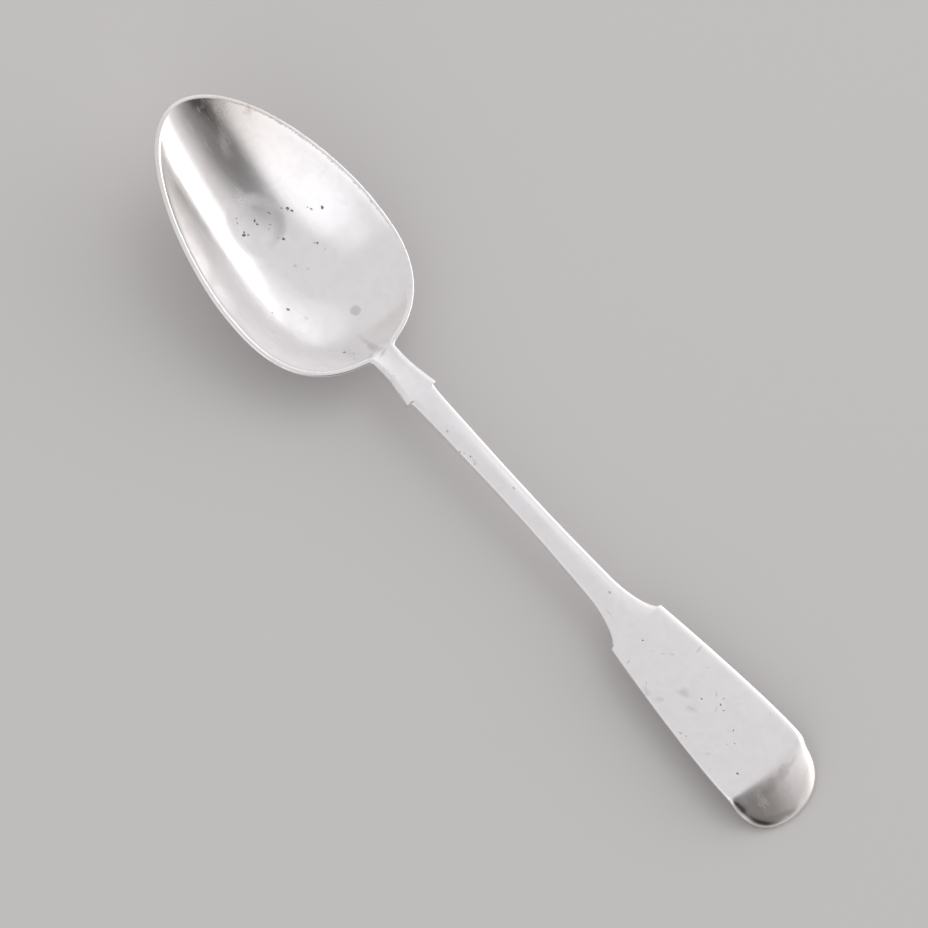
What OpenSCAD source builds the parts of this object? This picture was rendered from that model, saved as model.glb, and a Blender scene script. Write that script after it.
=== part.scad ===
// Tablespoon with a fiddle-shaped handle, forged in one piece.
// Sizes are millimetres. +Z is up and X runs along the spoon, with the tip of the bowl at -X and the end of the handle at +X.
// The origin is on the table, under the middle of the spoon's length.
// It lies as it does on a table, bowl upward, resting on the bottom of the bowl and on the turned-down end of the handle.

/* [Whole spoon] */
// Length from the tip of the bowl to the end of the handle
spoon_length = 223; // [200:1:240]

/* [Bowl] */
// Length of the bowl from its tip to its heel
bowl_length = 76.5; // [66:0.5:82]
// Width of the bowl across its rim
bowl_width = 48; // [38:0.5:54]
// Distance from the tip to the widest part of the bowl
bowl_widest_at = 46; // [38:0.5:50]
// Depth of the bowl under its rim
bowl_depth = 13.2; // [8:0.2:18]
// Height of the rim at the tip over the rim at the heel
rim_rise = 13; // [6:0.5:16]
// Thickness of the metal at the bottom of the bowl
bowl_thickness = 1.1; // [0.8:0.1:2]
// Width of the flat lip round the top of the rim
lip_width = 1.2; // [0.8:0.1:2]
// Height of the rim's outer edge
rim_thickness = 1; // [0.7:0.1:1.6]

/* [Neck and ears] */
// Narrowest width of the neck behind the bowl
neck_width = 7.4; // [6:0.2:10]
// Width across the two ears
ear_width = 10; // [8.4:0.2:12]
// Distance from the tip of the bowl to the ears
ear_at = 90.2; // [87:0.2:94]
// Height of the neck's top at the ears over the rim at the heel
ear_rise = 0.9; // [0:0.1:4]
// Thickness of the neck under the ears
neck_thickness = 4.2; // [3.4:0.2:5.4]
// Height of the tongue on the back of the bowl where the neck runs into it
tongue_height = 0.6; // [0:0.1:1.2]

/* [Stem] */
// Width of the stem where it leaves the ears
stem_width_front = 7; // [5.6:0.2:8]
// Narrowest width of the stem
stem_width = 6.5; // [5:0.1:7.6]
// Distance from the tip of the bowl to the narrowest part of the stem
stem_narrowest_at = 119; // [108:1:128]
// Height of the stem's top where it is narrowest
stem_height = 10.9; // [8:0.1:14]
// Thickness of the stem where it is narrowest
stem_thickness = 2.9; // [2.2:0.1:3.8]
// Width of the rounding along the edges of the neck and the stem
stem_rounding = 1.6; // [0.8:0.1:2]

/* [Handle plate] */
// Distance from the tip of the bowl to the square shoulders
shoulder_at = 165; // [158:0.5:172]
// Width across the shoulders
shoulder_width = 16.8; // [13:0.2:20]
// Height of the plate's top at the shoulders
shoulder_height = 8.7; // [7.5:0.1:11]
// Thickness of the plate at the shoulders
shoulder_thickness = 2.1; // [1.7:0.1:3]
// Length of the flare that runs from the stem out to the shoulders
flare_length = 14; // [11:0.5:17]
// Widest width of the plate
plate_width = 24.6; // [21:0.2:30]
// Width of the rounding along the edges of the plate
plate_rounding = 2.3; // [1.2:0.1:2.8]
// Length of the rounded end, from the widest part of the plate
end_length = 16.5; // [12:0.5:22]
// Length of the turned-down end behind its crease
turn_length = 12; // [10:0.5:15]
// Height of the plate's top at the crease
turn_height = 7; // [4.5:0.1:8]
// Length over which the crease bends
turn_bend = 1.8; // [0.8:0.1:4]
// How far the sides of the turned-down end hang under its middle
end_droop = 1.4; // [0:0.1:2]
// Thickness of the metal at the end of the handle
end_thickness = 1.5; // [1.2:0.1:2.2]
// Height of the low crown along the middle of the handle's top
crown = 0.22; // [0:0.02:0.5]

/* [Hidden] */
silver = [0.80, 0.80, 0.79];

// Half widths and places along the length, measured from the tip of the bowl
bowl_half = bowl_width / 2;
neck_half = neck_width / 2;
ear_half = ear_width / 2;
front_half = stem_width_front / 2;
stem_half = stem_width / 2;
shoulder_half = shoulder_width / 2;
plate_half = plate_width / 2;
rear_length = bowl_length - bowl_widest_at;
neck_at = bowl_length + 3.5;
flare_at = shoulder_at - flare_length;
plate_widest_at = spoon_length - end_length;
crease_at = spoon_length - turn_length;

// Fullness of the round outlines. A value of 2 is an ellipse and a larger one is squarer.
tip_fullness = 1.68;
heel_fullness = 2.73;
end_fullness = 3.6;
// Fullness of the bowl across its width
hollow_fullness = 2.2;
// How far the hollow leans toward the tip
hollow_lean = 0.35;
// Radius of the fillets between the rim and the neck
fillet = 2.4;
// How far the rounded edges of the handle drop below its top
edge_drop = 0.46;

function mix(a, b, t) = a + (b - a) * t;
function clamp(t) = min(1, max(0, t));
function max_smooth(a, b, k) = (a + b + sqrt((a - b) * (a - b) + k * k)) / 2;
function ease(t) = let(c = clamp(t)) c * c * (3 - 2 * c);

// A smooth curve through knots [x, value], with the slopes of its neighbours at each knot
function slope(k, i) =
    let(a = max(0, i - 1), b = min(len(k) - 1, i + 1))
    (k[b][1] - k[a][1]) / (k[b][0] - k[a][0]);
function span(k, x, i = 0) = i >= len(k) - 2 || x < k[i + 1][0] ? i : span(k, x, i + 1);
function through(k, x) =
    let(i = span(k, x),
        d = k[i + 1][0] - k[i][0],
        t = clamp((x - k[i][0]) / d),
        a = k[i][1],
        b = k[i + 1][1],
        u = slope(k, i) * d,
        v = slope(k, i + 1) * d)
    a + t * (u + t * (3 * (b - a) - 2 * u - v + t * (2 * (a - b) + u + v)));

// Half width of the bowl by itself, as two quarters that meet where it is widest
function bowl_outline(x) =
    x <= bowl_widest_at
    ? bowl_half * sqrt(max(0, 1 - pow((bowl_widest_at - x) / bowl_widest_at, tip_fullness)))
    : bowl_half * sqrt(max(0, 1 - pow(clamp((x - bowl_widest_at) / rear_length), heel_fullness)));

// Half width of the neck, which opens toward the ears
function neck_outline(x) =
    mix(neck_half, ear_half, pow(clamp((x - neck_at) / (ear_at - neck_at)), 1.5));

// Half width of the stem behind the ears and of the flare that runs out to the shoulders
stem_knots = [
    [ear_at, front_half + 0.35],
    [ear_at + 3, front_half + 0.12],
    [ear_at + 10, front_half],
    [stem_narrowest_at, stem_half],
    [(stem_narrowest_at + flare_at) / 2, stem_half + 0.1],
    [flare_at, stem_half + 0.6]
];
flare_start = stem_half + 0.6;
function flare(x) =
    let(t = clamp((x - flare_at) / (shoulder_at - flare_at)))
    mix(flare_start, shoulder_half, 1 - pow(1 - pow(t, 1.8), 0.55));
function stem_outline(x) = x < flare_at ? through(stem_knots, x) : flare(x);

// Half width of the plate, which widens in a slow curve and then closes in its rounded end
function plate_outline(x) =
    x <= plate_widest_at
    ? plate_half - (plate_half - shoulder_half)
        * pow((plate_widest_at - x) / (plate_widest_at - shoulder_at), 1.42)
    : plate_half * sqrt(max(0, 1 - pow(clamp((x - plate_widest_at) / end_length), end_fullness)));

function half_width(x) =
    x < ear_at
    ? let(a = bowl_outline(x), b = neck_outline(x))
      x < bowl_widest_at ? a : max_smooth(a, b, fillet) - fillet * fillet / (4 * max(a, b))
    : x < shoulder_at ? stem_outline(x) : plate_outline(x);

// Depth of the hollow along its middle, as a share of the bowl's depth. It runs out softly on the neck.
function hollow(x) =
    let(u = x < bowl_widest_at
            ? 1 - pow((bowl_widest_at - x) / bowl_widest_at, tip_fullness)
            : 1 - pow((x - bowl_widest_at) / rear_length, heel_fullness),
        v = u * (1 + hollow_lean * (bowl_widest_at - x) / bowl_widest_at),
        k = 0.11 * ease((x - bowl_widest_at) / 20))
    x > bowl_length + 12 ? 0 : max_smooth(v, 0, k);

// The rim's height over its heel, and the height of the heel that sets the bottom of the bowl on the table
function rim_knots(base) = [
    for (t = [0:0.2:1]) [bowl_length * 0.93 * t, base + rim_rise * (1 - mix(t, ease(t), 0.55))],
    [ear_at - 1.2, base + ear_rise]
];
heel_height = max([
    for (x = [20:0.5:bowl_length - 4])
        bowl_depth * hollow(x) + bowl_thickness - through(rim_knots(0), x)
]);
plate_fall = (shoulder_height - turn_height) / (crease_at - shoulder_at) * 0.8;
straight_end = turn_height - plate_fall * turn_length;
top_knots = concat(rim_knots(heel_height), [
    [stem_narrowest_at, stem_height],
    [flare_at, mix(stem_height, shoulder_height, 0.62)],
    [mix(shoulder_at, crease_at, 0.5), mix(shoulder_height, turn_height, 0.58)],
    [crease_at, turn_height],
    [spoon_length, straight_end]
]);
// The end turns down behind the crease, until its lower edge stands on the table
foot_inset = 0.18 * end_thickness;
turned_length = max_smooth(turn_length - foot_inset, 0, turn_bend);
turn_slope = (straight_end + plate_fall * foot_inset - end_thickness) / turned_length;
function top_height(x) = through(top_knots, x) - turn_slope * max_smooth(x - crease_at, 0, turn_bend);

// Thickness of the neck, the stem and the plate
thickness_knots = [
    [bowl_length - 10, neck_thickness * 1.04],
    [bowl_length, neck_thickness * 1.02],
    [ear_at, neck_thickness * 0.92],
    [stem_narrowest_at, stem_thickness],
    [flare_at, mix(stem_thickness, shoulder_thickness, 0.6)],
    [shoulder_at, shoulder_thickness],
    [crease_at, mix(shoulder_thickness, end_thickness, 0.7)],
    [spoon_length, end_thickness]
];

// Stations along the outline: closer together on round stretches and at the ears and shoulders
tip_steps = 24;
heel_steps = 18;
end_steps = 13;
function heel_station(i) =
    bowl_widest_at + rear_length * pow(sin(90 * i / heel_steps), 2 / heel_fullness);
stations = concat(
    [for (i = [0:tip_steps]) bowl_widest_at * (1 - pow(cos(90 * i / tip_steps), 2 / tip_fullness))],
    [for (i = [1:heel_steps - 4]) heel_station(i)],
    [for (t = [1:9]) mix(heel_station(heel_steps - 4), neck_at, t / 9)],
    [for (t = [1:4]) mix(neck_at, ear_at - 0.5, t / 4)],
    [ear_at - 0.12, ear_at, ear_at + 0.5, ear_at + 1.6, ear_at + 3.5],
    [for (t = [1:11]) mix(ear_at + 3.5, flare_at, t / 11)],
    [for (t = [1:9]) mix(flare_at, shoulder_at, sin(90 * t / 9.6))],
    [shoulder_at, shoulder_at + 0.5, shoulder_at + 1.5],
    [for (t = [1:10]) mix(shoulder_at + 1.5, crease_at - 2.6 * turn_bend, t / 10)],
    [for (t = [-1.6, -0.9, -0.4, 0, 0.4, 0.9, 1.6]) crease_at + t * turn_bend],
    [for (i = [1:end_steps]) mix(crease_at + 1.6 * turn_bend, spoon_length, sin(90 * i / end_steps))]
);
last = len(stations) - 1;

// How far the inward direction of the outline leans along the length, from 1 at the tip to -1 at the end
function lean(x) =
    let(e = 0.02,
        b = bowl_outline(x + e) - bowl_outline(max(0, x - e)),
        r = x < e ? 1 : b / (2 * e) / sqrt(1 + pow(b / (2 * e), 2)),
        p = plate_outline(min(spoon_length, x + e)) - plate_outline(x - e),
        q = x > spoon_length - e ? -1 : p / (2 * e) / sqrt(1 + pow(p / (2 * e), 2)))
    x < bowl_length - 1 ? r
    : x < neck_at + 2 ? -0.93 * (1 - ease((x - bowl_length + 1) / (neck_at + 3 - bowl_length)))
    : x < plate_widest_at ? 0 : q;

// One section: from the middle of the top out to one edge, round it, and back to the middle of the bottom
top_spans = 10;
bottom_spans = 8;
edge_points = 7;
half_count = top_spans + edge_points + bottom_spans;
ring_count = 2 * half_count - 2;

// Amount of handle in a section, from 0 on the bowl to 1 behind the ears
function handle_share(x) = ease((x - bowl_length + 4) / 12);
// Inset and drop of the edge's points, from the top's edge to the bottom's edge
function edge_profile(x, w) =
    let(h = handle_share(x),
        t = mix(rim_thickness, through(thickness_knots, x), ease((x - bowl_length + 2.5) / 6)),
        across = mix(stem_rounding, plate_rounding, ease((x - flare_at) / flare_length)),
        r = min(mix(lip_width, across, h), 0.9 * w + 0.35),
        d = min(edge_drop, 0.24 * t) * mix(0.7, 1, ease((x - ear_at) / 8)) * h,
        s = mix(0.25, min(0.9, 0.3 * t), h))
    [
        [r, 0],
        [r * 0.7, d * 0.14],
        [r * 0.42, d * 0.46 + 0.02 * (1 - h)],
        [r * 0.17, d + 0.09 * (1 - h)],
        [0, mix(0.35, d + s * 0.6, h) * (h > 0 ? 1 : rim_thickness)],
        [0, t - s],
        [s * mix(0.8, 0.6, h), t]
    ];

function edge_point(x, w, e) =
    let(n = lean(x), across = sqrt(1 - n * n))
    [x + e[0] * n, max(0, w - e[0] * across), top_height(x + e[0] * n * handle_share(x)) - e[1]];

function half_section(i) =
    let(x = stations[i],
        end = i == 0 || i == last,
        w = end ? 0 : half_width(x),
        h = handle_share(x),
        profile = edge_profile(x, end ? lip_width : w),
        edge = [for (e = profile) edge_point(x, w, e)],
        inner = edge[0],
        outer = edge[edge_points - 1],
        depth = bowl_depth * hollow(x),
        t = profile[edge_points - 1][1],
        rise = crown * ease((x - ear_at + 2) / 26) * ease((spoon_length - x) / 14),
        wall = depth + mix(rim_thickness, bowl_thickness, min(1, hollow(x))),
        neck = through(thickness_knots, x) * ease((x - bowl_length + 9) / 5),
        soft = 0.8 * ease((bowl_length + 2 - x) / 6) * ease((x - bowl_length + 12) / 6),
        under = max(0, max_smooth(wall, neck, soft) - t),
        tongue = tongue_height * ease((x - bowl_length + 22) / 16) * ease((bowl_length - x) / 4))
    concat(
        [for (j = [0:top_spans - 1])
            let(s = j / top_spans, g = 1 - pow(s, hollow_fullness))
            [inner[0], inner[1] * s, inner[2] - depth * g + rise * (1 - s * s)]],
        edge,
        [for (j = [bottom_spans - 1:-1:0])
            let(v = j / bottom_spans,
                s = mix(v, 0.45 * v + 0.55 * v * v, 1 - h),
                g = 1 - pow(s, hollow_fullness),
                y = outer[1] * s,
                bump = tongue * (1 - ease((y - 2.6) / 2.6)))
            [outer[0], y, outer[2] - under * g - bump]]
    );

// The turned-down end is bowed across, and the bow starts at the crease
function droop(x) = end_droop / (plate_half * plate_half) * ease((x - crease_at + turn_bend) / (3 * turn_bend));

halves = [for (i = [0:last]) half_section(i)];
shift = -spoon_length / 2;
points = [
    for (half = halves)
        for (k = [0:ring_count - 1])
            let(right = k < half_count, p = half[right ? k : ring_count - k])
            [p[0] + shift, right ? p[1] : -p[1], p[2] - droop(p[0]) * p[1] * p[1]]
];

// On the first and the last section the two sides meet, and their points are shared
function spot(i, k) =
    let(m = k % ring_count,
        zipped = i == 0 || i == last,
        j = zipped && m >= half_count ? ring_count - m : m,
        f = !zipped ? j : j <= top_spans ? 0 : j >= top_spans + edge_points - 1 ? half_count - 1 : j)
    i * ring_count + f;
function flat(f) = f[0] == f[1] || f[1] == f[2] || f[0] == f[2];
faces = [
    for (i = [0:last - 1])
        for (k = [0:ring_count - 1])
            let(a = spot(i, k), b = spot(i + 1, k), c = spot(i + 1, k + 1), d = spot(i, k + 1),
                right = k < half_count - 1)
            for (f = right ? [[a, c, b], [a, d, c]] : [[a, d, b], [b, d, c]])
                if (!flat(f)) f
];

// Bowl, neck, stem and handle plate in one forging
module spoon() {
    color(silver)
        polyhedron(points = points, faces = faces, convexity = 6);
}

spoon();
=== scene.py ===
# Old silver tablespoon with a fiddle-shaped handle, lying bowl upward on a pale studio table.
# Lengths are metres. X runs along the spoon, from the tip of the bowl at -X to the end of the
# handle at +X, and Z is up. The worn finish is on Object coordinates, so the places of its marks
# are given as they are on the spoon.

import math

import bpy
from mathutils import Matrix, Vector


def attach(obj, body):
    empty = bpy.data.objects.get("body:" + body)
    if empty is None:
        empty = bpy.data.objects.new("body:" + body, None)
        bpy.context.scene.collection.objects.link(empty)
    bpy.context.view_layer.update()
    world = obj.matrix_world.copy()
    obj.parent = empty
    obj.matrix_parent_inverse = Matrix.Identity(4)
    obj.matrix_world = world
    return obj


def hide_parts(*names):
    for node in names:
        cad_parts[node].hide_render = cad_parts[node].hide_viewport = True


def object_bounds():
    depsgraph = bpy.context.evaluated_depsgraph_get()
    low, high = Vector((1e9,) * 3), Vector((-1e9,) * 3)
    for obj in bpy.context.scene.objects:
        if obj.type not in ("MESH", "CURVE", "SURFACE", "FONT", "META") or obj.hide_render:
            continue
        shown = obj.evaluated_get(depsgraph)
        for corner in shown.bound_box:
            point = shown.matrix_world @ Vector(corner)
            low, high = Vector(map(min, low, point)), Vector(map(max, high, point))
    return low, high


bl_info = {
    "name": "Silver Tablespoon",
    "version": (1, 0, 0),
    "blender": (4, 5, 0),
    "location": "View3D > Sidebar > Spoon",
    "description": "Builds an old silver tablespoon with its worn finish, and a plain studio table",
    "category": "Object",
}

MM = 0.001
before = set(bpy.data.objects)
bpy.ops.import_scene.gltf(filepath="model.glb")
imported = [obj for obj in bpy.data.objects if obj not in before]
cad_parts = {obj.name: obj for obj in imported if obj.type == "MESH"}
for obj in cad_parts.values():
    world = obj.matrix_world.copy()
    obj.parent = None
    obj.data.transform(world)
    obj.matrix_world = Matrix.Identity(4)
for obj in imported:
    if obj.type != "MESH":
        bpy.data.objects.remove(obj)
solid_low, solid_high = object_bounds()
BOWL_TIP = solid_low[0]
HANDLE_END = solid_high[0]


def linear(code):
    """Turns a colour such as #C0C0BE into linear red, green and blue."""
    parts = [int(code[i : i + 2], 16) / 255 for i in (1, 3, 5)]
    return tuple(p / 12.92 if p <= 0.04045 else ((p + 0.055) / 1.055) ** 2.4 for p in parts)


def direction(azimuth, elevation):
    """The unit vector toward an azimuth counted from +X and a height over the table, in degrees."""
    around = math.radians(azimuth)
    rise = math.radians(elevation)
    return Vector(
        (math.cos(around) * math.cos(rise), math.sin(around) * math.cos(rise), math.sin(rise))
    )


class SpoonFinish(bpy.types.PropertyGroup):
    silver: bpy.props.FloatVectorProperty(
        name="Silver",
        description="Colour of the clean sterling silver",
        subtype="COLOR",
        size=3,
        min=0,
        max=1,
        default=linear("#FAF9F8"),
    )
    # Colour of the warm tarnish, which near the tip of the bowl is also a painted warm reflection
    tarnish_and_warm_reflection: bpy.props.FloatVectorProperty(
        name="Tarnish",
        description="Colour of the thin warm tarnish that polishing has left in broad patches",
        subtype="COLOR",
        size=3,
        min=0,
        max=1,
        default=linear("#EAE2D8"),
    )
    pit: bpy.props.FloatVectorProperty(
        name="Pits",
        description="Colour of the dark sulphide in the bottoms of pits and deep scratches",
        subtype="COLOR",
        size=3,
        min=0,
        max=1,
        default=linear("#3A3433"),
    )
    roughness: bpy.props.FloatProperty(
        name="Roughness",
        description="Roughness of the hand-polished surface before its wear",
        min=0.02,
        max=0.6,
        default=0.17,
    )
    unevenness: bpy.props.FloatProperty(
        name="Unevenness",
        description="Height of the shallow waves left by hand forging",
        subtype="DISTANCE",
        unit="LENGTH",
        min=0,
        max=0.1 * MM,
        default=0.02 * MM,
    )
    swelling: bpy.props.FloatProperty(
        name="Swelling",
        description="Height of the shallow swellings left by knocks on the back of the bowl",
        subtype="DISTANCE",
        unit="LENGTH",
        min=0,
        max=0.4 * MM,
        default=0.17 * MM,
    )
    scratch_depth: bpy.props.FloatProperty(
        name="Scratch depth",
        description="Depth of the fine scratches from use and cleaning",
        subtype="DISTANCE",
        unit="LENGTH",
        min=0,
        max=0.02 * MM,
        default=0.003 * MM,
    )
    pit_depth: bpy.props.FloatProperty(
        name="Pit depth",
        description="Depth of the corroded pits",
        subtype="DISTANCE",
        unit="LENGTH",
        min=0,
        max=0.2 * MM,
        default=0.06 * MM,
    )


class StudioTable(bpy.types.PropertyGroup):
    floor_colour: bpy.props.FloatVectorProperty(
        name="Floor",
        description="Colour of the plain table",
        subtype="COLOR",
        size=3,
        min=0,
        max=1,
        default=linear("#D1CFCC"),
    )
    floor_size: bpy.props.FloatProperty(
        name="Floor size",
        description="Length of the square table's sides",
        subtype="DISTANCE",
        unit="LENGTH",
        min=1,
        max=40,
        default=16,
    )
    backdrop: bpy.props.FloatVectorProperty(
        name="Backdrop",
        description="Plain colour that the camera sees past the edge of the table",
        subtype="COLOR",
        size=3,
        min=0,
        max=1,
        default=(0.8, 0.8, 0.8),
    )
    tent_light: bpy.props.FloatProperty(
        name="Tent light",
        description="Brightness of the white cloth round the table",
        min=0,
        max=2,
        default=0.73,
    )
    tent_colour: bpy.props.FloatVectorProperty(
        name="Tent colour",
        description="Colour of the white cloth round the table",
        subtype="COLOR",
        size=3,
        min=0,
        max=1,
        default=linear("#FDFBFF"),
    )
    softbox_azimuth: bpy.props.FloatProperty(
        name="Softbox azimuth",
        description="Direction from the spoon to the softbox, counted from the handle's side",
        subtype="ANGLE",
        unit="ROTATION",
        default=math.radians(125),
    )
    softbox_elevation: bpy.props.FloatProperty(
        name="Softbox elevation",
        description="Height of the softbox over the table, as an angle",
        subtype="ANGLE",
        unit="ROTATION",
        default=math.radians(52),
    )
    softbox_distance: bpy.props.FloatProperty(
        name="Softbox distance",
        description="Distance from the softbox to the middle of the spoon",
        subtype="DISTANCE",
        unit="LENGTH",
        min=0.3,
        max=5,
        default=1.1,
    )
    softbox_size: bpy.props.FloatProperty(
        name="Softbox size",
        description="Length of the square softbox's sides",
        subtype="DISTANCE",
        unit="LENGTH",
        min=0.1,
        max=3,
        default=0.6,
    )
    softbox_power: bpy.props.FloatProperty(
        name="Softbox power",
        description="Power of the softbox",
        unit="POWER",
        min=0,
        max=50,
        default=1,
    )
    camera_azimuth: bpy.props.FloatProperty(
        name="Camera azimuth",
        description="Direction from the spoon to the camera, counted from the handle's side",
        subtype="ANGLE",
        unit="ROTATION",
        default=math.radians(-69.4),
    )
    camera_elevation: bpy.props.FloatProperty(
        name="Camera elevation",
        description="Height of the camera over the table, as an angle",
        subtype="ANGLE",
        unit="ROTATION",
        default=math.radians(70),
    )
    camera_roll: bpy.props.FloatProperty(
        name="Camera roll",
        description="Turn of the camera about its own view",
        subtype="ANGLE",
        unit="ROTATION",
        default=math.radians(27.2),
    )
    camera_distance: bpy.props.FloatProperty(
        name="Camera distance",
        description="Distance from the camera to the point it looks at",
        subtype="DISTANCE",
        unit="LENGTH",
        min=0.3,
        max=5,
        default=1,
    )
    focal_length: bpy.props.FloatProperty(
        name="Focal length",
        description="Focal length of the lens in millimetres",
        min=30,
        max=300,
        default=162,
    )
    sensor_width: bpy.props.FloatProperty(
        name="Sensor width",
        description="Width of the camera's sensor in millimetres",
        min=8,
        max=60,
        default=36,
    )
    target: bpy.props.FloatVectorProperty(
        name="Target",
        description="Point that the camera looks at",
        subtype="TRANSLATION",
        unit="LENGTH",
        size=3,
        default=(-3.6 * MM, -0.5 * MM, -0.5 * MM),
    )


def add(tree, kind, inputs=(), **settings):
    """Adds a node and sets it up. An input takes a value, an output, or a node for its first output."""
    made = tree.nodes.new(kind)
    for name, value in settings.items():
        setattr(made, name, value)
    for name, value in dict(inputs).items():
        if isinstance(value, bpy.types.Node):
            value = value.outputs[0]
        if isinstance(value, bpy.types.NodeSocket):
            tree.links.new(value, made.inputs[name])
        else:
            made.inputs[name].default_value = value
    return made


def start_material(name):
    """A material with only a Principled BSDF and its output."""
    material = bpy.data.materials.new(name)
    material.use_nodes = True
    tree = material.node_tree
    tree.nodes.clear()
    shader = add(tree, "ShaderNodeBsdfPrincipled")
    add(tree, "ShaderNodeOutputMaterial", {"Surface": shader})
    return material, tree, shader


# Marks on the top of the spoon, placed to the nearest half millimetre. Each group has a turn in
# degrees and a stretch, and lists its marks as (x, y, half width) in millimetres.
# Pits are corroded spots that hold dark sulphide.
PITS = {
    (0, 1.0): [
        (-80.5, 1, 0.35), (-73, 4, 0.4), (-77.5, 9, 0.4), (-76.5, 9.5, 0.35),
        (-72, 15, 0.4), (-61, -11, 0.25), (-2.5, -2, 0.25), (57, -1.5, 0.3),
        (95, -6.5, 0.35), (76.5, -0.5, 0.3), (74.5, 1.5, 0.2), (80, 3.5, 0.2),
        (80.5, 2, 0.3), (87, 0, 0.3), (89.5, -2, 0.25), (80.5, -9.5, 0.2),
    ],
    (70, 2.0): [
        (-83.5, -2.5, 0.2), (-79.5, -3.5, 0.35), (-77.5, 3.5, 0.2), (-77, 2.5, 0.15),
        (-74, 3, 0.15), (-64.5, 10, 0.15), (-80, -3, 0.2),
    ],
    (30, 1.8): [
        (-82.5, -3, 0.2), (-79.5, 1, 0.25), (-79.5, 5, 0.3), (-78.5, 8, 0.2),
        (-73.5, 13, 0.2), (-67, 9.5, 0.25), (-67.5, 9, 0.15), (-59.5, -7, 0.3),
        (-42, -5.5, 0.25), (82, 1.5, 0.2), (79, -10, 0.2), (88.5, -3.5, 0.15),
        (-79, -2.5, 0.25), (-74.5, 12.5, 0.15),
    ],
}
# Scratches and bruises from knives and forks, dull grey rather than black
SCRATCHES = {
    (45, 6.0): [
        (62.5, 0, 0.15), (64, 1.5, 0.15), (60.5, -1.5, 0.1), (82.5, -6.5, 0.1),
        (86.5, -1, 0.1), (71.5, -2, 0.1), (72, 6, 0.1),
    ],
    (96, 7.0): [(67.5, 7.5, 0.2), (83, 5, 0.1), (90, -10.5, 0.1)],
    (-45, 6.0): [(78, 3, 0.15), (80.5, 0.5, 0.15), (90, 9.5, 0.1), (65, -8, 0.15)],
    (18, 9.0): [
        (87, -5.5, 0.1), (105, -6, 0.15), (103.5, -7, 0.15), (105.5, -6.5, 0.1),
        (-65.5, -12, 0.15), (-57, -14.5, 0.15), (86.5, 11, 0.1),
    ],
    (120, 7.0): [(106, 6.5, 0.15), (58.5, -7.5, 0.15)],
    (0, 1.2): [
        (-20, 2.5, 0.2), (-10.5, -2, 0.3), (10, 0.5, 0.35), (15.5, 0.5, 0.2),
        (43.5, 0.5, 0.35), (-5, -3, 0.3), (-4, -2.5, 0.25), (-0.5, -2.5, 0.3),
    ],
}
# Stains: faint grey spots, the largest a round one near the heel of the bowl
STAINS = {
    (20, 1.4): [(-66.5, 2, 0.5), (-64, 4, 0.4), (-55, -5, 0.5), (87, -8.5, 0.4)],
    (0, 1.0): [(-48.5, 5, 1.5), (-49, 4.5, 0.8)],
    (0, 5.0): [(-1, -2, 0.35), (47, -3, 0.3)],
    (102, 3.5): [(-35, 0, 0.5), (-36.5, -2.5, 0.4)],
}
# Wide smudges with wandering outlines
SMUDGES = {
    (35, 2.0): [(72.5, -3, 1.1), (77, -4, 0.9), (70, -8, 0.8), (66.5, -9, 0.7)],
    (99, 3.0): [(102.5, -2.5, 1.5), (102, 2.5, 1.3), (101.5, 5.5, 0.9)],
    (0, 4.0): [(-38.5, 0, 1.2), (-30, -3.5, 0.8)],
}
# Frosted places, where fine pitting has eaten the polish
FROST = {
    (-30, 1.8): [(-103.5, 9, 2), (-99, 13.5, 1.2), (-106.5, 5, 1)],
    (10, 1.5): [(-86, 1.5, 2), (-40.5, -4.5, 1.8)],
    (0, 2.4): [(103.5, -6, 1.6), (-30, -2.5, 1.2)],
}
# Hazy places, rubbed dull, where the reflection is more blurred than round them
HAZE = {
    (-16, 2.6): [(-97.5, 5.5, 1.6), (-84.5, 0.5, 2.4)],
    (28, 3.0): [(-80, 7, 1.5), (-70.5, 9, 1.1)],
}
# Shallow swellings, the other side of knocks on the back of the bowl, which break the reflections
SWELLINGS = {
    (0, 1.0): [(-79.5, 0.5, 7.2)],
    (8, 2.4): [(-63, 3.5, 5)],
}
# Outlines of the marks: grain of the noise that shakes them, how far it reaches, both in
# millimetres, and its detail
OUTLINES = {"ragged": (0.5, 0.7, 1), "wandering": (2.6, 3.4, 3)}
# Each kind of mark with its groups, its outline and the width of its soft edge in millimetres
MARKS = {
    "pits": (PITS, "ragged", 0.2),
    "scratches": (SCRATCHES, "ragged", 0.16),
    "stains": (STAINS, "ragged", 0.6),
    "smudges": (SMUDGES, "wandering", 1.0),
    "frost": (FROST, "wandering", 1.4),
    "haze": (HAZE, "wandering", 1.6),
    "swellings": (SWELLINGS, "plain", 3.0),
}
# Hair scratches are a few hundredths of a millimetre wide. They are drawn about 0.2 mm wide so
# that they show. Each layer has a turn in degrees, a length and a width in millimetres, and the
# share of its noise that is kept.
HAIR_LAYERS = [
    (8, 9, 0.22, 0.33),
    (-24, 7, 0.2, 0.32),
    (41, 6, 0.22, 0.31),
    (78, 6, 0.2, 0.3),
    (-63, 5, 0.22, 0.3),
]
HAIR_EDGE = 0.06
# Pointiness is 0.5 on a flat face. Nicks start a little above that, and are full at the second.
WORN_EDGE = (0.503, 0.52)
# Faces whose normal rises at least this much carry the marks in full.
FACING_UP = 0.3
# Tarnish fades in between these distances from the tip of the bowl, from its strength along the
# spoon to its strength at the tip, and likewise, to full strength, at the end of the handle. At the
# tip of the bowl this warm colour is both tarnish and a painted warm reflection.
TIP_FADE = (41.5 * MM, 5.5 * MM)
TARNISH_ALONG = 0.08
TARNISH_AND_WARM_REFLECTION_AT_TIP = 0.8
END_FADE = (14.5 * MM, 8.5 * MM)
# How far each kind of wear darkens the silver toward the colour of its pits
PIT_DARKNESS = 0.8
DARKENING = {
    "scratches": 0.42,
    "stains": 0.24,
    "speckle": 0.1,
    "frosting": 0.28,
    "smudges": 0.19,
    "bloom": 0.03,
    "nicks": 0.22,
}
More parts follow.
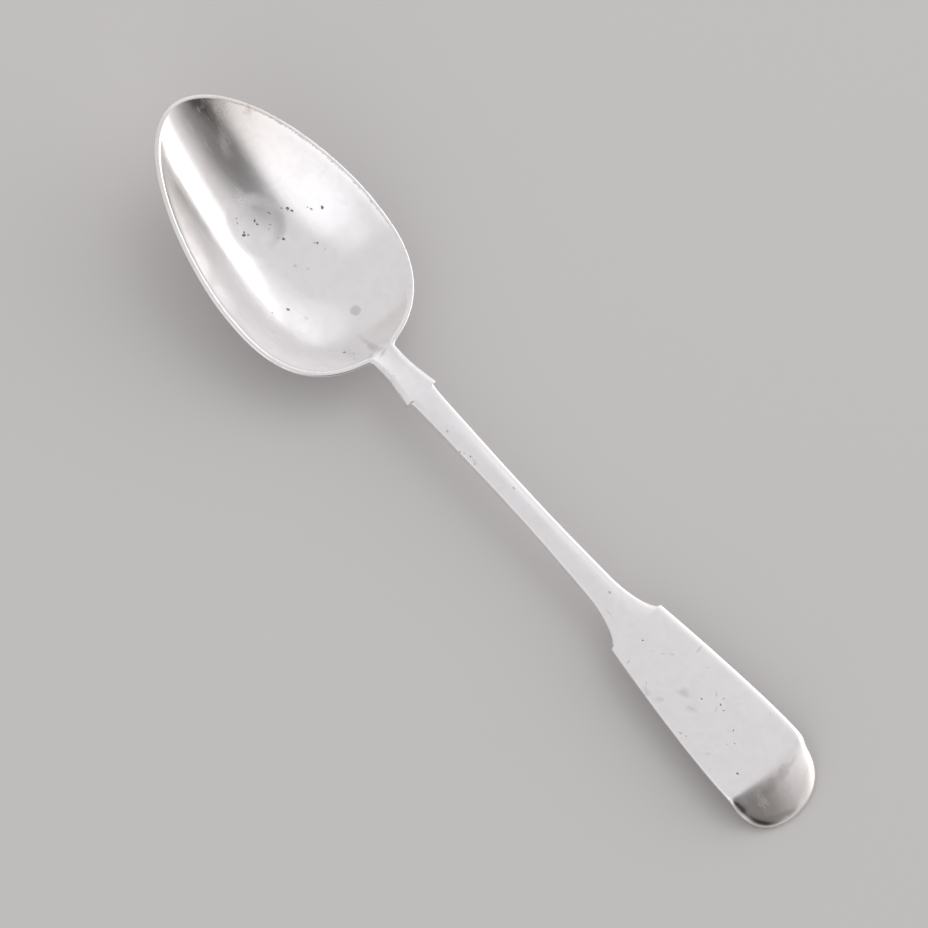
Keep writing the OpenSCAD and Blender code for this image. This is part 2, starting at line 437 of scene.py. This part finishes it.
# How much each kind of wear adds to the roughness of the polish
BLURRING = {"hairs": 0.05, "speckle": 0.12, "haze": 0.14, "darkness": 0.35}
# The polish itself varies between these shares of its roughness
SMOOTHEST_POLISH = 0.85
ROUGHEST_POLISH = 1.3


def shaken(tree, place, grain, reach, detail):
    """The place moved about by noise, which makes the outline of a mark uneven."""
    shake = add(
        tree,
        "ShaderNodeTexNoise",
        {"Vector": place, "Scale": 1 / (grain * MM), "Detail": detail},
    )
    centred = add(
        tree,
        "ShaderNodeVectorMath",
        {0: shake.outputs["Color"], 1: (0.5, 0.5, 0.5)},
        operation="SUBTRACT",
    )
    return add(
        tree,
        "ShaderNodeVectorMath",
        {0: centred, 1: (reach * MM, reach * MM, 0), 2: place},
        operation="MULTIPLY_ADD",
    )


def mark_mask(tree, place, groups, soft):
    """1 inside the marks, falling to 0 at their edges over about soft millimetres.
    A stretched mark is round in the turned and squeezed space of its group."""
    nearest = None
    for (turn, stretch), marks in groups.items():
        angle = math.radians(turn)
        space = add(
            tree,
            "ShaderNodeMapping",
            {"Vector": place, "Rotation": (0, 0, angle), "Scale": (stretch * MM, MM, 1)},
            vector_type="TEXTURE",
        )
        for x, y, half_width in marks:
            centre = Matrix.Rotation(-angle, 3, "Z") @ Vector((x, y, 0))
            centre.x /= stretch
            away = add(tree, "ShaderNodeVectorMath", {0: space, 1: centre}, operation="DISTANCE")
            far = add(
                tree,
                "ShaderNodeMath",
                {0: away.outputs["Value"], 1: half_width},
                operation="SUBTRACT",
            )
            if nearest is not None:
                far = add(tree, "ShaderNodeMath", {0: nearest, 1: far}, operation="MINIMUM")
            nearest = far
    return add(
        tree,
        "ShaderNodeMapRange",
        {"Value": nearest, "From Min": 0.2 * soft, "From Max": -soft},
        interpolation_type="SMOOTHSTEP",
    )


def patches(
    tree,
    place,
    grain,
    start,
    full,
    detail=2.0,
    roughness=0.5,
    distortion=0.0,
    low=0.0,
    high=1.0,
):
    """Soft patches of about grain millimetres. They go from low, where the noise is at start or
    less, to high, where it is at full or more."""
    grains = add(
        tree,
        "ShaderNodeTexNoise",
        {
            "Vector": place,
            "Scale": 1 / (grain * MM),
            "Detail": detail,
            "Roughness": roughness,
            "Distortion": distortion,
        },
    )
    return add(
        tree,
        "ShaderNodeMapRange",
        {"Value": grains, "From Min": start, "From Max": full, "To Min": low, "To Max": high},
        interpolation_type="SMOOTHSTEP",
    )


def hair_scratches(tree, place, turn, length, width, share):
    """Straight hair scratches that run one way.
    They are noise drawn out along one direction, of which only the crests are kept."""
    along = 1 / (length * MM)
    drawn = add(
        tree,
        "ShaderNodeMapping",
        {
            "Vector": place,
            "Rotation": (0, 0, math.radians(turn)),
            "Scale": (along, 1 / (width * MM), along),
        },
    )
    grains = add(
        tree, "ShaderNodeTexNoise", {"Vector": drawn, "Scale": 1, "Detail": 1, "Distortion": 0.15}
    )
    return add(
        tree,
        "ShaderNodeMapRange",
        {"Value": grains, "From Min": 1 - share, "From Max": 1 - share + HAIR_EDGE},
        interpolation_type="SMOOTHSTEP",
    )


def weighted_sum(tree, wear, weights, start=0.0):
    """Adds up the kinds of wear that have a weight, each times its weight."""
    total = start
    for name, weight in weights.items():
        total = add(
            tree, "ShaderNodeMath", {0: wear[name], 1: weight, 2: total}, operation="MULTIPLY_ADD"
        )
    return total


def placed_marks(tree, place, normal):
    """A mask for each kind of mark, only on what faces up."""
    height = add(tree, "ShaderNodeSeparateXYZ", {0: normal}).outputs["Z"]
    on_top = add(
        tree,
        "ShaderNodeMapRange",
        {"Value": height, "From Min": 0.0, "From Max": FACING_UP},
        interpolation_type="SMOOTHSTEP",
    )
    places = {"plain": place}
    for outline, shake in OUTLINES.items():
        places[outline] = shaken(tree, place, *shake)
    masks = {}
    for name, (groups, outline, soft) in MARKS.items():
        mask = mark_mask(tree, places[outline], groups, soft)
        masks[name] = add(tree, "ShaderNodeMath", {0: mask, 1: on_top}, operation="MULTIPLY")
    return masks


def all_over_wear(tree, place, frost):
    """A mask for each kind of wear that has no places of its own."""
    hairs = None
    for layer in HAIR_LAYERS:
        drawn = hair_scratches(tree, place, *layer)
        if hairs is not None:
            drawn = add(tree, "ShaderNodeMath", {0: hairs, 1: drawn}, operation="ADD")
        hairs = drawn

    # Frosted speckle, fine random pitting of about 0.3 mm where the polish never reached its bottom
    speckle = patches(tree, place, grain=0.28, start=0.6, full=0.74, roughness=0.7)
    spread = patches(tree, place, grain=9, start=0.5, full=0.68, detail=3)
    speckle = add(tree, "ShaderNodeMath", {0: speckle, 1: spread}, operation="MULTIPLY")
    frosting = patches(tree, place, grain=0.3, start=0.5, full=0.62, roughness=0.7)
    frosting = add(tree, "ShaderNodeMath", {0: frosting, 1: frost}, operation="MULTIPLY")

    # Nicks of about half a millimetre along the worn edges, in some stretches and not in others
    start, full = WORN_EDGE
    edges = add(
        tree,
        "ShaderNodeMapRange",
        {
            "Value": add(tree, "ShaderNodeNewGeometry").outputs["Pointiness"],
            "From Min": start,
            "From Max": full,
        },
        interpolation_type="SMOOTHSTEP",
    )
    stretches = patches(tree, place, grain=11, start=0.44, full=0.56)
    nicks = patches(tree, place, grain=0.55, start=0.53, full=0.63, roughness=0.65)
    nicks = add(tree, "ShaderNodeMath", {0: nicks, 1: edges}, operation="MULTIPLY")
    nicks = add(tree, "ShaderNodeMath", {0: nicks, 1: stretches}, operation="MULTIPLY")

    # Bloom, the faint greying of silver in air, in patches of about 4.5 mm
    bloom = patches(tree, place, grain=4.5, start=0.4, full=0.66, detail=4, distortion=1.2)
    return {
        "hairs": hairs,
        "speckle": speckle,
        "frosting": frosting,
        "nicks": nicks,
        "bloom": bloom,
    }


def tarnish_and_warm_reflection_colour(tree, place, finish):
    """Warm tarnish in broad clouds on the silver, nearly all of it toward the two ends, where the
    spoon is held and dips. Toward the tip of the bowl the same warm colour is also a painted warm
    reflection."""
    cloud = patches(
        tree,
        place,
        grain=26,
        start=0.38,
        full=0.68,
        detail=4,
        distortion=0.6,
        low=0.4,
        high=0.95,
    )
    along = add(tree, "ShaderNodeSeparateXYZ", {0: place}).outputs["X"]
    # Strongest toward the tip of the bowl, where the warm colour is tarnish and a painted warm
    # reflection
    start, full = TIP_FADE
    tip = add(
        tree,
        "ShaderNodeMapRange",
        {
            "Value": along,
            "From Min": BOWL_TIP + start,
            "From Max": BOWL_TIP + full,
            "To Min": TARNISH_ALONG,
            "To Max": TARNISH_AND_WARM_REFLECTION_AT_TIP,
        },
        interpolation_type="SMOOTHSTEP",
    )
    start, full = END_FADE
    end = add(
        tree,
        "ShaderNodeMapRange",
        {"Value": along, "From Min": HANDLE_END - start, "From Max": HANDLE_END - full},
        interpolation_type="SMOOTHSTEP",
    )
    ends = add(tree, "ShaderNodeMath", {0: tip, 1: end}, operation="MAXIMUM")
    cloud = add(tree, "ShaderNodeMath", {0: cloud, 1: ends}, operation="MULTIPLY")
    return add(
        tree,
        "ShaderNodeMix",
        {"Factor": cloud, 6: (*finish.silver, 1), 7: (*finish.tarnish_and_warm_reflection, 1)},
        data_type="RGBA",
    ).outputs[2]


def polished_sterling_silver(finish):
    """Sterling silver, forged, hand-polished and worn by long use and cleaning.
    It gives a soft mirror: bright, nearly neutral, blurred by hair scratches, with a breath of
    warm tarnish, a painted warm reflection at the tip of the bowl, and black pits."""
    material, tree, shader = start_material("polished_sterling_silver_worn")
    coordinates = add(tree, "ShaderNodeTexCoord")
    place = coordinates.outputs["Object"]
    wear = placed_marks(tree, place, coordinates.outputs["Normal"])
    wear |= all_over_wear(tree, place, wear["frost"])

    # Warm tarnish, with a painted warm reflection toward the tip of the bowl
    colour = tarnish_and_warm_reflection_colour(tree, place, finish)
    dull = weighted_sum(tree, wear, DARKENING)
    pits = add(tree, "ShaderNodeMath", {0: wear["pits"], 1: PIT_DARKNESS}, operation="MULTIPLY")
    wear["darkness"] = add(tree, "ShaderNodeMath", {0: pits, 1: dull}, operation="MAXIMUM")
    colour = add(
        tree,
        "ShaderNodeMix",
        {"Factor": wear["darkness"], 6: colour, 7: (*finish.pit, 1)},
        data_type="RGBA",
    ).outputs[2]

    # The polish varies in patches of about 14 mm, and worn places are duller.
    polish = patches(
        tree,
        place,
        grain=14,
        start=0.3,
        full=0.75,
        detail=3,
        low=finish.roughness * SMOOTHEST_POLISH,
        high=finish.roughness * ROUGHEST_POLISH,
    )
    rough = weighted_sum(tree, wear, BLURRING, polish)

    # Heights in metres, for one bump. The forging left waves of about 14 mm with ripples of 5 mm.
    for name, grain in (("waves", 14), ("ripples", 5)):
        wear[name] = add(
            tree,
            "ShaderNodeTexNoise",
            {"Vector": place, "Scale": 1 / (grain * MM), "Detail": 1},
        )
    heights = {
        "waves": finish.unevenness,
        "ripples": finish.unevenness * 0.16,
        "hairs": -finish.scratch_depth,
        "speckle": -finish.scratch_depth * 1.5,
        "scratches": -finish.scratch_depth * 4,
        "pits": -finish.pit_depth,
        "nicks": -finish.pit_depth * 0.8,
        "frosting": -finish.scratch_depth * 5,
        "swellings": finish.swelling,
    }
    height = weighted_sum(tree, wear, heights)
    bump = add(tree, "ShaderNodeBump", {"Height": height, "Strength": 1.0, "Distance": 1.0})

    shader.inputs["Metallic"].default_value = 1.0
    tree.links.new(colour, shader.inputs["Base Color"])
    tree.links.new(rough.outputs[0], shader.inputs["Roughness"])
    tree.links.new(bump.outputs["Normal"], shader.inputs["Normal"])
    return material


# Corners of the solid's triangles that lie closer than this are one.
MERGE_DISTANCE = 0.001 * MM
# Two neighbouring triangles are joined to a four-sided face up to these angles.
FOLD_ANGLE = math.radians(120)
SKEW_ANGLE = math.radians(180)
SMOOTHING_LEVELS = 2


class SPOON_OT_forging(bpy.types.Operator):
    """Make the spoon from its solid, smoothed, with the finish of worn polished silver"""

    bl_idname = "spoon.forging"
    bl_label = "Silver spoon"

    def execute(self, context):
        finish = context.scene.spoon_finish
        bpy.ops.object.select_all(action="DESELECT")
        spoon = bpy.data.objects.new("silver_spoon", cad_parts["spoon"].data.copy())
        context.scene.collection.objects.link(spoon)
        spoon.select_set(True)
        context.view_layer.objects.active = spoon

        # The solid's loose triangles are merged and joined to four-sided faces, which smooth better.
        bpy.ops.object.mode_set(mode="EDIT")
        bpy.ops.mesh.select_all(action="SELECT")
        bpy.ops.mesh.remove_doubles(threshold=MERGE_DISTANCE)
        bpy.ops.mesh.customdata_custom_splitnormals_clear()
        bpy.ops.mesh.tris_convert_to_quads(face_threshold=FOLD_ANGLE, shape_threshold=SKEW_ANGLE)
        bpy.ops.mesh.select_all(action="DESELECT")
        bpy.ops.object.mode_set(mode="OBJECT")

        smooth = spoon.modifiers.new("Polish", "SUBSURF")
        smooth.levels = smooth.render_levels = SMOOTHING_LEVELS
        bpy.ops.object.modifier_apply(modifier="Polish")
        bpy.ops.object.shade_smooth()

        spoon.data.materials.clear()
        spoon.data.materials.append(polished_sterling_silver(finish))
        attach(spoon, "root")
        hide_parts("spoon")
        return {"FINISHED"}


# What stands out from the even cloth of the tent: azimuth and elevation of its middle and its reach
# from there, in degrees, and the brightness that it adds. A dark part takes brightness away.
TENT_PARTS = {
    "low window past the +Y side": (68, 3, 42, 1.1),
    "wide glow round the window": (90, 10, 55, 0.25),
    "panel beside the camera": (-62, 26, 34, 0.4),
    "panel over the bowl": (130, 45, 34, 0.15),
    "dark room past the handle": (-5, 36, 33, -0.52),
    "dark doorway at its side": (-24, 12, 30, -0.36),
}
DARKEST = 0.03
# The table lies this far under the spoon, so that no two faces coincide.
TABLE_GAP = 0.02 * MM


def soft_spot(tree, view, azimuth, elevation, reach):
    """1 in the middle of a part of the tent, falling softly to 0 at its reach in degrees."""
    along = add(
        tree,
        "ShaderNodeVectorMath",
        {0: view, 1: direction(azimuth, elevation)},
        operation="DOT_PRODUCT",
    )
    return add(
        tree,
        "ShaderNodeMapRange",
        {
            "Value": along.outputs["Value"],
            "From Min": math.cos(math.radians(reach)),
            "From Max": 1.0,
        },
        interpolation_type="SMOOTHSTEP",
    )


def matt_painted_board(studio):
    """Matt painted board: an even pale surface with no shine of its own."""
    material, tree, shader = start_material("matt_painted_board")
    shader.inputs["Base Color"].default_value = (*studio.floor_colour, 1)
    shader.inputs["Roughness"].default_value = 0.9
    shader.inputs["Specular IOR Level"].default_value = 0.2
    return material


class SPOON_OT_studio(bpy.types.Operator):
    """Make the plain pale table, the soft light round it and the camera"""

    bl_idname = "spoon.studio"
    bl_label = "Studio table"

    def execute(self, context):
        studio = context.scene.studio_table
        self.table(context, studio)
        self.light_tent(context, studio)
        self.softbox(context, studio)
        self.camera(context, studio)
        return {"FINISHED"}

    def table(self, context, studio):
        """The plain table top, which is stage and no part of the object."""
        bpy.ops.object.select_all(action="DESELECT")
        bpy.ops.mesh.primitive_plane_add(size=studio.floor_size, location=(0, 0, -TABLE_GAP))
        floor = context.active_object
        floor.name = "table_top"
        floor.data.transform(floor.matrix_world)
        floor.matrix_world = Matrix.Identity(4)
        floor.data.materials.append(matt_painted_board(studio))

    def light_tent(self, context, studio):
        """A tent of white cloth, with brighter and darker parts that show as streaks in the silver.
        The camera itself sees a plain backdrop in its place."""
        world = bpy.data.worlds.new("light_tent")
        world.use_nodes = True
        context.scene.world = world
        tree = world.node_tree
        tree.nodes.clear()
        view = add(tree, "ShaderNodeTexCoord").outputs["Generated"]
        level = studio.tent_light
        for azimuth, elevation, reach, gain in TENT_PARTS.values():
            spot = soft_spot(tree, view, azimuth, elevation, reach)
            level = add(
                tree, "ShaderNodeMath", {0: spot, 1: gain, 2: level}, operation="MULTIPLY_ADD"
            )
        level = add(tree, "ShaderNodeMath", {0: level, 1: DARKEST}, operation="MAXIMUM")
        cloth = add(
            tree, "ShaderNodeBackground", {"Color": (*studio.tent_colour, 1), "Strength": level}
        )
        plain = add(tree, "ShaderNodeBackground", {"Color": (*studio.backdrop, 1), "Strength": 1.0})
        seen = add(tree, "ShaderNodeLightPath").outputs["Is Camera Ray"]
        mixed = add(tree, "ShaderNodeMixShader", {0: seen, 1: cloth, 2: plain})
        add(tree, "ShaderNodeOutputWorld", {"Surface": mixed})

    def softbox(self, context, studio):
        """One large softbox gives the spoon its soft shadow on the table."""
        toward = direction(
            math.degrees(studio.softbox_azimuth), math.degrees(studio.softbox_elevation)
        )
        bpy.ops.object.light_add(type="AREA", location=toward * studio.softbox_distance)
        lamp = context.active_object
        lamp.name = "softbox"
        lamp.data.shape = "SQUARE"
        lamp.data.size = studio.softbox_size
        lamp.data.energy = studio.softbox_power
        lamp.rotation_euler = toward.to_track_quat("Z", "Y").to_euler()
        lamp.visible_camera = False
        lamp.visible_glossy = False

    def camera(self, context, studio):
        """The camera looks down on the spoon, at the photograph's angle and with its roll."""
        back = direction(
            math.degrees(studio.camera_azimuth), math.degrees(studio.camera_elevation)
        )
        right = (-back).cross(Vector((0, 0, 1))).normalized()
        up = right.cross(-back)
        turned = Matrix.Rotation(studio.camera_roll, 3, back)
        right, up = turned @ right, turned @ up
        place = Vector(studio.target) + back * studio.camera_distance
        bpy.ops.object.camera_add()
        camera = context.active_object
        camera.matrix_world = Matrix(
            [(right[i], up[i], back[i], place[i]) for i in range(3)] + [(0, 0, 0, 1)]
        )
        camera.data.sensor_width = studio.sensor_width
        camera.data.lens = studio.focal_length
        camera.data.clip_start = 0.01
        camera.data.clip_end = 100
        context.scene.camera = camera
        context.scene.view_settings.view_transform = "Standard"


class SPOON_PT_sidebar(bpy.types.Panel):
    bl_idname = "SPOON_PT_sidebar"
    bl_label = "Silver Tablespoon"
    bl_space_type = "VIEW_3D"
    bl_region_type = "UI"
    bl_category = "Spoon"

    def draw(self, context):
        for group in (context.scene.spoon_finish, context.scene.studio_table):
            box = self.layout.box()
            for name in group.__annotations__:
                box.prop(group, name)
        self.layout.operator(SPOON_OT_forging.bl_idname)
        self.layout.operator(SPOON_OT_studio.bl_idname)


classes = (SpoonFinish, StudioTable, SPOON_OT_forging, SPOON_OT_studio, SPOON_PT_sidebar)


def register():
    for item in classes:
        bpy.utils.register_class(item)
    bpy.types.Scene.spoon_finish = bpy.props.PointerProperty(type=SpoonFinish)
    bpy.types.Scene.studio_table = bpy.props.PointerProperty(type=StudioTable)


def unregister():
    del bpy.types.Scene.studio_table
    del bpy.types.Scene.spoon_finish
    for item in reversed(classes):
        bpy.utils.unregister_class(item)


def main():
    register()
    bpy.ops.spoon.forging()
    bpy.ops.spoon.studio()


if __name__ == "__main__":
    main()
